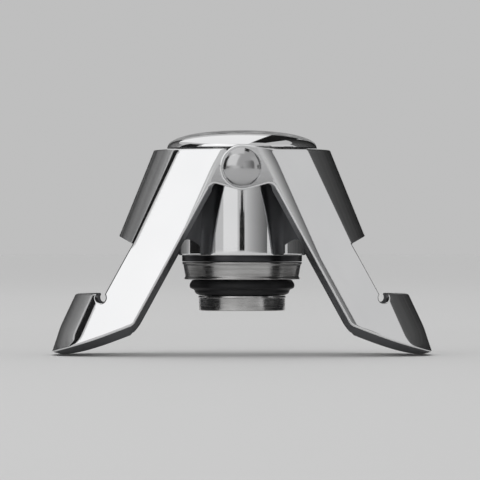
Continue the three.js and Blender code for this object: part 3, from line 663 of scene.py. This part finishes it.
def rim_normals(rows, first, last):
    """Unit normals of the rim's grid from differences along and across it, with the faces' own
    normals in the first and last rows."""
    along = np.roll(rows, -1, 1) - np.roll(rows, 1, 1)
    n = unit(np.cross(along, np.gradient(rows, axis=0)))
    n *= np.sign((n[1] * first).sum())
    n[0], n[-1] = first, last
    return n


def oriented(points, faces, wanted):
    """Triangles of one sheet, which all wind alike, turned together if the sheet as a whole
    faces away from the directions wanted at its corners."""
    a, b, c = (points[faces[:, k]] for k in range(3))
    facing = (np.cross(b - a, c - a) * wanted[faces].mean(1)).sum()
    return faces[:, ::-1] if facing < 0 else faces


def arm_mesh():
    """Both faces of the skin, the rims of the outline and the window, and the pin's holes, as
    one closed set of triangles in the hanging arm's frame. The last array is 1 for the faces
    that the polishing wheel doesn't reach, which are rougher and painted dark as shade: the
    inside and the rim past its outer radius."""
    points, normals, faces, dull_and_shaded = [], [], [], []
    inset_loops, numbers, total = [], [], 0
    for inner in (0, 1):
        outline, window = loops[inner], windows[inner]
        inset_loops.append([inset(outline, ROUND * sense(outline)),
                            inset(window, -ROUND * sense(window)),
                            *(pin_circle(PIN_HOLE, inner, rear, PIN_SIDES)
                              for rear in (False, True))])
        ends = total + np.cumsum([len(loop) for loop in inset_loops[inner]])
        numbers.append([np.arange(end - len(loop), end)
                        for loop, end in zip(inset_loops[inner], ends)])
        flat, tris = fill(*inset_loops[inner])
        points.append(placed(flat, inner))
        normals.append(skin_normal(*flat.T, inner))
        faces.append(oriented(points[-1], tris, normals[-1]) + total)
        dull_and_shaded.append(np.full(len(tris), inner))
        total += len(flat)
    face_normals = np.concatenate(normals)
    for k, edges in enumerate((loops, windows)):
        first, last = numbers[0][k], numbers[1][k]
        rows = rim(edges, [inset_loops[inner][k] for inner in (0, 1)])
        n = rim_normals(rows, face_normals[first], face_normals[last])
        count = len(first)
        between = total + np.arange((len(rows) - 2) * count)
        total += len(between)
        points.append(rows[1:-1].reshape(-1, 3))
        normals.append(n[1:-1].reshape(-1, 3))
        tris = triangles(grid_faces(len(rows), count, True))
        tris = oriented(rows.reshape(-1, 3), tris, n.reshape(-1, 3))
        faces.append(np.concatenate([first, between, last])[tris])
        dull_and_shaded.append(np.tile(np.arange(len(tris) // 2) >= RIM_STEPS * count, 2))
    points = np.concatenate(points)
    for k in (2, 3):
        tris = triangles(band(numbers[0][k], numbers[1][k]))
        faces.append(oriented(points, tris, -points * (1, 0, 1)))
        dull_and_shaded.append(np.ones(len(tris)))
    return points, *(np.concatenate(part) for part in (normals, faces, dull_and_shaded))


arm_points, arm_normals, arm_faces, arm_dull_shaded = arm_mesh()
print("arm:", arm_points.shape, arm_faces.shape, arm_points.min(0).round(2))

# %% [markdown]
# ### The stop under the dome and the hook in the tab
# Two ledges stand inside each arm: a plate under the dome, which is the stop of the open arm,
# and a hook that grips under the bottle's ring. Each is a rounded profile carried round the
# bottle's axis, from a circle on its free side to the middle of the arm's wall.

# %% Ledges
LEDGE_EDGE = 0.16
STOP = dict(free_radius=13.2, start_x=5.3, low=2.15, high=3.5)
HOOK = dict(free_radius=13.7, start_x=6.2, low=-38.0, high=-36.6)
HOOK_MIDDLE = 37.3


def open_out(points):
    """Hanging places turned to the open arm's: a turn of 28.7 degrees about the pin."""
    x, y, z = points.T
    return np.stack([x * COS_OPEN - z * SIN_OPEN, y, x * SIN_OPEN + z * COS_OPEN], 1)


def ledge(wall_curve, free_radius, start_x, low, high):
    """A plate round the axis from low to high. wall_curve is the wall's middle as places, read
    here as a radius for each direction. Its free edge is rounded by two quarter circles."""
    end = math.acos(start_x / free_radius)
    phi = np.linspace(-end, end, 61)
    direction = np.arctan2(wall_curve[:, 1], wall_curve[:, 0])
    order = np.argsort(direction)
    outer = np.interp(phi, direction[order], np.hypot(*wall_curve[order, :2].T))
    r = LEDGE_EDGE
    t = np.linspace(0, np.pi / 2, 5)
    nose = free_radius + np.concatenate([r - r * np.sin(t), r - r * np.cos(t)])
    z = np.array([high, *(high - r + r * np.cos(t)), *(low + r - r * np.sin(t)), low])[:, None]
    rho = np.vstack([outer, nose[:, None] + 0 * phi, outer])
    rows = np.stack([rho * np.cos(phi), rho * np.sin(phi), z + 0 * phi], -1)
    rows = np.concatenate([rows, rows[:1]])
    n = unit(np.cross(np.gradient(rows, axis=0), np.gradient(rows, axis=1)))
    n = n * np.sign((n * (rows - rows[:-1].mean(0))).sum(-1, keepdims=True))
    points, normals = rows[:-1].reshape(-1, 3), n[:-1].reshape(-1, 3)
    count = len(phi)
    tris = triangles(grid_faces(len(rows), count, False) % len(points))
    outwards = np.zeros((len(rows) - 1, count, 3))
    outwards[:, 0], outwards[:, -1] = (0, -1, 0), (0, 1, 0)
    sheets = [oriented(points, tris, normals)]
    for column in (0, count - 1):
        side = np.arange(len(rows) - 1) * count + column
        cap = np.stack([np.full(len(side) - 2, side[0]), side[1:-1], side[2:]], 1)
        sheets.append(oriented(points, cap, outwards.reshape(-1, 3)))
    return points, normals, np.concatenate(sheets)


def wall_middle(a, d):
    """Places halfway between the skin's outer and inner faces."""
    return (skin(a, d, 0) + skin(a, d, 1)) / 2


a_web = np.linspace(-9, 2 * WEB_HALF + 9, 140)
top_middle = open_out(wall_middle(*settle(a_web, 0, top_rule).T))
stop = ledge(top_middle, **STOP)
hook = ledge(wall_middle(a_web, HOOK_MIDDLE), **HOOK)
print("ledges:", len(stop[0]), "and", len(hook[0]), "points")

# %% The arms in place
hanging = [(arm_points, arm_normals, arm_faces), hook]
parts = [(open_out(p), open_out(n), f) for p, n, f in hanging] + [stop]
offsets = np.cumsum([0] + [len(p) for p, _, _ in parts])
right_points = np.concatenate([p for p, _, _ in parts])
right_normals = np.concatenate([n for _, n, _ in parts])
right_faces = np.concatenate([f + o for (_, _, f), o in zip(parts, offsets)])
dull_shaded_faces = np.ones(len(right_faces), np.int32)
dull_shaded_faces[:len(arm_dull_shaded)] = arm_dull_shaded
half_turn = np.array([-1, -1, 1])
right_wing = make_piece("right_wing", right_points, right_faces, right_normals, PIN)
left_wing = make_piece("left_wing", right_points * half_turn, right_faces,
                       right_normals * half_turn, PIN)
print("wing tips at", round(float(right_points[:, 2].min() + PIN_HEIGHT), 3), "mm")

# %% [markdown]
# ## Finishes
# A finish is a Principled shader whose colour, roughness and bent normal come from noise. All
# patterns read Object coordinates, which stay with each piece when it moves. The helpers below
# add one node each, so that a finish reads as a few lines.

# %% Material helpers
WAY_ROUND = (1.3, 1.3, 0)


def feed(socket, value):
    """Sets an input to a constant, or links it where the value is another node's output."""
    if isinstance(value, bpy.types.NodeSocket):
        socket.id_data.links.new(value, socket)
    else:
        socket.default_value = value


def add(tree, kind, *values, **named):
    """A node. Values in order go to its inputs, and named ones to its properties or inputs."""
    node = tree.nodes.new(kind)
    for key, value in named.items():
        if hasattr(node, key):
            setattr(node, key, value)
        else:
            feed(node.inputs[key.replace("_", " ")], value)
    for socket, value in zip(node.inputs, values):
        feed(socket, value)
    return node


def maths(tree, operation, *values, kind="ShaderNodeMath"):
    """The result of a Math or Vector Math node, which is its one output in use."""
    node = add(tree, kind, *values, operation=operation)
    return next(output for output in node.outputs if output.enabled)


def set_shader(tree, **values):
    """Inputs of the tree's Principled shader by name, each a constant or a node's output."""
    for key, value in values.items():
        feed(tree.nodes["Principled BSDF"].inputs[key.replace("_", " ")], value)


def new_material(name, **values):
    """A node material whose Principled shader has the values given, and its tree."""
    material = bpy.data.materials.new(name)
    material.use_nodes = True
    set_shader(material.node_tree, **values)
    return material, material.node_tree


def noise(tree, vector, scale, detail=3.0, roughness=0.5):
    """A noise texture over a vector."""
    return add(tree, "ShaderNodeTexNoise", Vector=vector, Scale=scale, Detail=detail,
               Roughness=roughness).outputs["Fac"]


def span(tree, value, low, high, from_low=0.35, from_high=0.65):
    """A value carried from one range to another, held at its ends."""
    return add(tree, "ShaderNodeMapRange", Value=value, From_Min=from_low, From_Max=from_high,
               To_Min=low, To_Max=high).outputs["Result"]


def object_vector(tree, scale=(1, 1, 1)):
    """Object coordinates, scaled."""
    coordinates = tree.nodes.new("ShaderNodeTexCoord").outputs["Object"]
    return add(tree, "ShaderNodeMapping", Vector=coordinates, Scale=scale).outputs["Vector"]


def tinted(tree, fac, dark, light):
    """A colour between two, by a value."""
    return add(tree, "ShaderNodeMix", data_type="RGBA", Factor=fac, A=(*dark, 1),
               B=(*light, 1)).outputs["Result"]


def bumped(tree, height, distance_mm, strength=1.0):
    """A height field turned into a bent normal. The distance is the height's real size."""
    return add(tree, "ShaderNodeBump", Strength=strength, Distance=distance_mm * MM,
               Height=height).outputs["Normal"]


def round_axis(tree, lines):
    """Coordinates for turned work: radius and height finely divided, and the way round the axis
    left nearly even, so that a noise over them draws rings with slow changes along each."""
    coordinates = tree.nodes.new("ShaderNodeTexCoord").outputs["Object"]
    x, y, z = add(tree, "ShaderNodeSeparateXYZ", coordinates).outputs
    flat = add(tree, "ShaderNodeCombineXYZ", x, y).outputs["Vector"]
    vector = "ShaderNodeVectorMath"
    radius = maths(tree, "LENGTH", flat, kind=vector)
    scaled = [maths(tree, "MULTIPLY", value, lines) for value in (radius, z)]
    around = maths(tree, "NORMALIZE", flat, kind=vector)
    turned = maths(tree, "MULTIPLY", around, WAY_ROUND, kind=vector)
    lifted = add(tree, "ShaderNodeCombineXYZ", Z=maths(tree, "ADD", *scaled)).outputs["Vector"]
    return maths(tree, "ADD", turned, lifted, kind=vector)

# %% [markdown]
# ### Polished chrome
# Chrome is nearly a mirror, so what makes it look real is small: a roughness that drifts over the
# surface, and faint wiping marks. The arms are a little less bright than the dome, the rivets
# are satin, and the polishing wheel hasn't reached the arms' insides, which are rougher and
# painted near black as shade.

# %% Polished chrome
def polished(name, dark, light, rough_low, rough_high):
    """Chrome with a drifting roughness and faint wiping marks in two directions."""
    material, tree = new_material(name, Metallic=1.0)
    broad = noise(tree, object_vector(tree), 90, 2)
    wiped = noise(tree, object_vector(tree, (1, 0.25, 6)), 420, 4, 0.6)
    marks = maths(tree, "MULTIPLY", broad, wiped)
    set_shader(tree, Base_Color=tinted(tree, broad, dark, light),
               Roughness=span(tree, marks, rough_low, rough_high, 0.15, 0.4),
               Normal=bumped(tree, wiped, 0.0001, 0.3))
    return material


chrome = polished("polished_chrome", (0.86, 0.865, 0.875), (0.93, 0.93, 0.935), 0.03, 0.07)
bell_chrome = polished("bell_chrome", (0.84, 0.845, 0.855), (0.92, 0.92, 0.925), 0.03, 0.065)
rivet_steel = polished("rivet_steel", (0.5, 0.5, 0.505), (0.62, 0.62, 0.625), 0.15, 0.22)
arm_chrome = polished("wing_chrome", (0.84, 0.845, 0.855), (0.92, 0.92, 0.925), 0.06, 0.12)
# Painted shade: the insides' colour is near black, far darker than unpolished plating, and stands
# for the shade inside the arms.
inside_dull_painted_shade = polished("wing_inside_painted_shade", (0.09, 0.092, 0.097), (0.19, 0.193, 0.2), 0.3, 0.45)

# %% [markdown]
# ### Turned steel, cast zinc and rubber
# The cup and the disc are turned, so their fine lines run round the axis and draw the highlight
# out across them, which is what anisotropy does. Cast zinc and moulded rubber have no direction:
# a plain noise gives the one its grain and the other its dull bloom.

# %% Turned and brushed steel
def turned_steel(name, dark, light, rough_low, rough_high, lines, height_mm, strength):
    """Steel with fine lines round the axis: a noise drawn out into rings, in colour, roughness
    and height."""
    material, tree = new_material(name, Metallic=1.0, Anisotropic=0.75, Anisotropic_Rotation=0.25)
    fine = noise(tree, round_axis(tree, lines), 1.0, 5, 0.7)
    slow = noise(tree, round_axis(tree, lines * 0.12), 1.0, 2, 0.5)
    tangent = add(tree, "ShaderNodeTangent", direction_type="RADIAL", axis="Z").outputs[0]
    set_shader(tree, Base_Color=tinted(tree, span(tree, slow, 0, 1), dark, light),
               Roughness=span(tree, fine, rough_low, rough_high),
               Normal=bumped(tree, fine, height_mm, strength), Tangent=tangent)
    return material


brushed = turned_steel("brushed_cup", (0.42, 0.415, 0.41), (0.56, 0.555, 0.55), 0.24, 0.4,
                       9000, 0.004, 0.7)
turned_face = turned_steel("turned_disc_steel", (0.5, 0.495, 0.49), (0.7, 0.695, 0.69),
                           0.18, 0.32, 5200, 0.005, 0.7)
plain_steel = turned_steel("plain_steel", (0.42, 0.42, 0.425), (0.56, 0.56, 0.565),
                           0.28, 0.42, 3600, 0.004, 0.5)
dark_steel = turned_steel("dark_sleeve", (0.03, 0.03, 0.033), (0.07, 0.07, 0.075),
                          0.3, 0.45, 4200, 0.003, 0.5)
brass = turned_steel("turned_brass", (0.55, 0.38, 0.14), (0.68, 0.5, 0.22),
                     0.25, 0.4, 4200, 0.004, 0.5)

# %% Cast zinc and moulded rubber
cast_zinc, tree = new_material("cast_zinc", Metallic=1.0)
grain = noise(tree, object_vector(tree), 1600, 5, 0.65)
patch = noise(tree, object_vector(tree), 240, 2)
set_shader(tree, Base_Color=tinted(tree, patch, (0.3, 0.31, 0.32), (0.42, 0.43, 0.44)),
           Roughness=span(tree, grain, 0.45, 0.62), Normal=bumped(tree, grain, 0.02))

rubber, tree = new_material("black_rubber", Specular_IOR_Level=0.22)
grain = noise(tree, object_vector(tree), 2600, 4, 0.6)
bloom = noise(tree, object_vector(tree), 160, 3)
rubber_shade = tinted(tree, span(tree, bloom, 0, 1), (0.008, 0.008, 0.009), (0.022, 0.022, 0.023))
set_shader(tree, Base_Color=rubber_shade, Roughness=span(tree, bloom, 0.42, 0.58),
           Normal=bumped(tree, grain, 0.012))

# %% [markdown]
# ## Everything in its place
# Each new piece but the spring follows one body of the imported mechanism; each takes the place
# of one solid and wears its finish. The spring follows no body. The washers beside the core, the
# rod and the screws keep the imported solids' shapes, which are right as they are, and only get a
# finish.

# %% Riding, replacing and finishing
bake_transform(spring)
for piece, body, node, finish_slot, material in (
        (spring, None, "compression_spring", "plain_steel", plain_steel),
        (dome, "body", "dome_cap", "polished_chrome", chrome),
        (bell, "body", "body_shell", "polished_chrome", bell_chrome),
        (pin, "body", "hinge_pin", "polished_chrome", rivet_steel),
        (end_cap, "body", "pin_end_cap", "polished_chrome", rivet_steel),
        (right_wing, "right_arm", "right_arm", "polished_chrome", arm_chrome),
        (left_wing, "left_arm", "left_arm", "polished_chrome", arm_chrome),
        (sleeve, "plunger", "plunger_sleeve", "dark_steel", dark_steel),
        (cup, "plunger", "seal_cup", "brushed_steel", brushed),
        (seal, "plunger", "gasket", "rubber", rubber),
        (disc, "plunger", "lower_disc", "brushed_steel", turned_face)):
    if body:
        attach(piece, body)
    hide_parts(node)
    piece.data.materials.append(material)
# The insides, the rims past their outer radius, the pin holes and the ledges wear the painted
# shade.
for wing in (right_wing, left_wing):
    wing.data.materials.append(inside_dull_painted_shade)
    wing.data.polygons.foreach_set("material_index", dull_shaded_faces)
for names, material in (
        (("guide_plate", "cap_screw_left", "cap_screw_right", "front_washer", "rear_washer",
          "plunger_rod", "disc_screw"), plain_steel),
        (("rod_clip",), dark_steel), (("rod_bush",), brass), (("body_core",), cast_zinc)):
    for name in names:
        for material_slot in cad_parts[name].material_slots:
            material_slot.material = material
print("materials:", len(bpy.data.materials))

# %% [markdown]
# ## Camera
# The photograph looks straight along the cross pin: the rims of the cup and the disc show as
# straight lines in it. The frame is 94 mm wide at the object's middle, and the image's centre
# lies 14 mm below the pin.

# %% Camera
DISTANCE, SENSOR, FRAME_WIDTH = 0.9, 36, 0.0941
CENTRE_X, CENTRE_DROP = -0.4, 14.0
camera_data = bpy.data.cameras.new("camera")
camera = new_object("camera", camera_data)
camera_data.sensor_width = SENSOR
camera_data.lens = SENSOR * DISTANCE / FRAME_WIDTH
camera.location = (CENTRE_X * MM, -DISTANCE, (PIN_HEIGHT - CENTRE_DROP) * MM)
camera.rotation_euler = (math.pi / 2, 0, 0)
bpy.context.scene.camera = camera
print("lens", round(camera_data.lens, 1), "mm")

# %% [markdown]
# ## Room
# Chrome shows its surroundings, so the surroundings are most of its look. A pale floor and a pale
# world stand for the background. One large soft panel to the left brightens the left arm, a dimmer
# one to the right lights the other, and a roof panel is what the dome shows. Flags of dark cloth
# give the black reflections. Two behind the arms are seen in their webs, and their shade fades
# along their length as the webs' does. A tall fading one to the right shades the bell's right
# half, two small ones below and around the lens are its dark centre line, low ones edge the cup
# and the disc, and a gap beside the roof panel crosses the dome.

# %% Stage helpers
def card(name, centre, across, up, material):
    """A flat stage card from its centre and its two half sides."""
    centre, across, up = (np.array(v, float) for v in (centre, across, up))
    corners = [centre + i * across + j * up for i, j in ((-1, -1), (1, -1), (1, 1), (-1, 1))]
    mesh = bpy.data.meshes.new(name)
    mesh.from_pydata(corners, [], [(0, 1, 2, 3)])
    mesh.materials.append(material)
    thing = new_object(name, mesh)
    return thing


def grey(level):
    """An even grey as a colour."""
    return (level, level, level)

# %% Floor and world
LEVEL, FLOOR_HALF = 0.52, 6
pale_floor, _ = new_material("pale_floor", Base_Color=(*grey(LEVEL), 1), Roughness=0.8)
card("floor", (0, 0, 0), (FLOOR_HALF, 0, 0), (0, FLOOR_HALF, 0), pale_floor)
world = bpy.data.worlds.new("pale_world")
bpy.context.scene.world = world
world.use_nodes = True
tree = world.node_tree
rays = tree.nodes.new("ShaderNodeLightPath").outputs
seen = rays["Is Camera Ray"]
for ray in ("Is Transmission Ray", "Is Glossy Ray"):
    seen = maths(tree, "MAXIMUM", seen, rays[ray])
feed(tree.nodes["Background"].inputs["Color"], (1, 1, 1, 1))
feed(tree.nodes["Background"].inputs["Strength"], span(tree, seen, 1.0, LEVEL, 0, 1))
print("floor and world at", LEVEL)

# %% Soft panels
AIM = Vector((0, 0, 0.025))


def compass(azimuth, elevation, distance):
    """A place seen from the object: azimuth 0 is towards the camera and turns to its right."""
    a, e = math.radians(azimuth), math.radians(elevation)
    return (distance * math.cos(e) * math.sin(a), -distance * math.cos(e) * math.cos(a),
            AIM.z + distance * math.sin(e))


def soft_panel(name, place, wide, high, brightness, aim=AIM):
    """A rectangular lamp that shows at the brightness given. The world behind shows through it,
    so the panel adds the difference: pi times its area times that much power."""
    data = bpy.data.lights.new(name, "AREA")
    data.shape = "RECTANGLE"
    data.size, data.size_y = wide, high
    data.energy = math.pi * wide * high * (brightness - LEVEL)
    light = new_object(name, data)
    light.location = place
    light.rotation_euler = (Vector(aim) - Vector(place)).to_track_quat("-Z", "Y").to_euler()
    light.visible_camera = False
    print(name, "power", round(data.energy, 3))


soft_panel("left_panel", compass(-41, 29, 0.75), 0.67, 0.62, 1.02)
soft_panel("low_left_panel", compass(-21, 2, 0.8), 0.37, 0.12, 0.75)
soft_panel("right_panel", compass(62, 18, 0.75), 0.6, 0.6, 0.6)
soft_panel("roof_panel", (-0.215, 0.3, 0.74), 0.65, 1.6, 0.88, (-0.215, 0.3, 0))

# %% Dark flags
def fold_shade(tree, low, high):
    """A value that wavers from low to high in upright streaks: painted shade, standing for the fold
    lines of hanging cloth.
    """
    return span(tree, noise(tree, object_vector(tree, (1, 1, 0.2)), 55, 4, 0.6), low, high)


def flag(name, centre, across, up, shade, far_shade=None, uneven=0.4):
    """A card of dark cloth beside the view, with painted shade of uneven fold lines. With a second
    shade it goes from the one to the other along its length. Only the metal's reflections see it:
    it takes no light from the floor."""
    cloth, tree = new_material(name + "_cloth", Roughness=0.9, Specular_IOR_Level=0.2)
    if far_shade is None:
        value, dark, light = fold_shade(tree, 0, 1), shade * (1 - uneven), shade * (1 + uneven)
    else:
        x = add(tree, "ShaderNodeSeparateXYZ", object_vector(tree)).outputs["X"]
        along = span(tree, x, 0, 1, centre[0] - across[0], centre[0] + across[0])
        value = maths(tree, "ADD", along, fold_shade(tree, -uneven, uneven))
        dark, light = shade, far_shade
    set_shader(tree, Base_Color=tinted(tree, value, grey(dark), grey(light)))
    thing = card(name, centre, across, up, cloth)
    thing.visible_camera = thing.visible_diffuse = thing.visible_shadow = False


def standing_flag(name, near, far, high, shade, far_shade=None, uneven=0.4):
    """A flag that stands on the floor between two places in plan."""
    near, far = np.array([*near, high / 2]), np.array([*far, high / 2])
    flag(name, (near + far) / 2, (far - near) / 2, (0, 0, high / 2), shade, far_shade, uneven)


standing_flag("left_flag", (-0.085, 0.28), (-0.283, 0.114), 0.2, 0.02, 0.32, 0.15)
standing_flag("right_flag", (0.085, 0.28), (0.42, 0.0), 0.34, 0.004, 0.13, 0.08)
standing_flag("fading_flag", (0.084, -0.796), (0.432, -0.417), 0.3, 0.62, 0.12, 0.0)
standing_flag("left_edge_flag", (-0.295, 0.1), (-0.31, -0.1), 0.3, 0.01)
standing_flag("low_left_flag", (-0.45, -0.395), (-0.59, -0.104), 0.085, 0.25, uneven=0.3)
standing_flag("low_right_flag", (0.548, -0.244), (0.597, -0.058), 0.12, 0.06, uneven=0.2)
flag("lens_flag", (0.0, -0.93, 0.017), (0.073, 0, 0), (0, 0, 0.017), 0.01)
flag("lens_flag_top", (0.0, -0.93, 0.0385), (0.035, 0, 0), (0, 0, 0.0045), 0.01)
flag("back_flag", (0, 0.9, 0.295), (0.55, 0, 0), (0, 0, 0.165), 0.3)
flag("roof_gap", (0.21, 0.7, 0.74), (0.1, 0, 0), (0, 0.85, 0), 0.01)
bpy.context.scene.view_settings.view_transform = "Standard"
